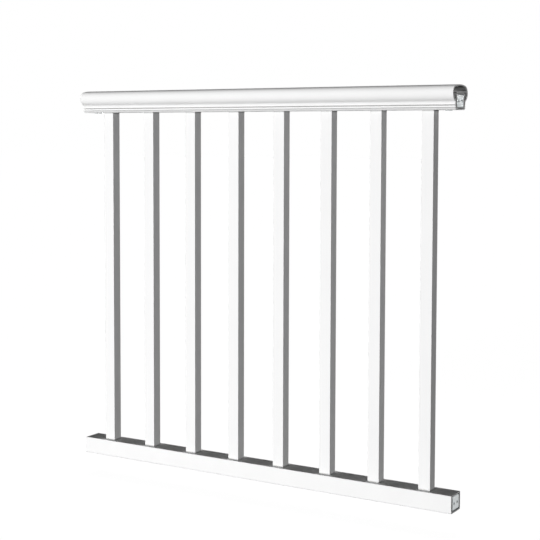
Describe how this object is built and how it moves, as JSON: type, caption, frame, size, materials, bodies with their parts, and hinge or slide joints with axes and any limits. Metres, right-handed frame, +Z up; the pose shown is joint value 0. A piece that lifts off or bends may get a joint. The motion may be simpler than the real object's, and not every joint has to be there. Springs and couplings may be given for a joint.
{
  "type": "deck railing section",
  "caption": "White deck railing section: a moulded handrail over a support rail, slim square balusters and a plain bottom rail, with screw brackets inside the rail ends.",
  "frame": {"origin": "middle of the lower left bracket's outer face, at the left end of the bottom rail", "axes": "+X along the rails to the right end, +Y from the front to the back, +Z up"},
  "size_m": [0.9271, 0.0772, 0.8596],
  "materials": {
    "white_pvc": "satin extruded",
    "white_powder_coat": "white powder coat on aluminium tube",
    "zinc_plate": "zinc plated"
  },
  "bodies": {
    "root": {"handrail": "white_pvc", "top_support_rail": "white_pvc", "bottom_rail": "white_pvc", "baluster_1": "white_powder_coat", "baluster_2": "white_powder_coat", "baluster_3": "white_powder_coat", "baluster_4": "white_powder_coat", "baluster_5": "white_powder_coat", "baluster_6": "white_powder_coat", "baluster_7": "white_powder_coat", "baluster_8": "white_powder_coat", "bracket_lower_left": "zinc_plate", "bracket_lower_right": "zinc_plate", "bracket_upper_left": "zinc_plate", "bracket_upper_right": "zinc_plate"}
  },
  "joints": []
}
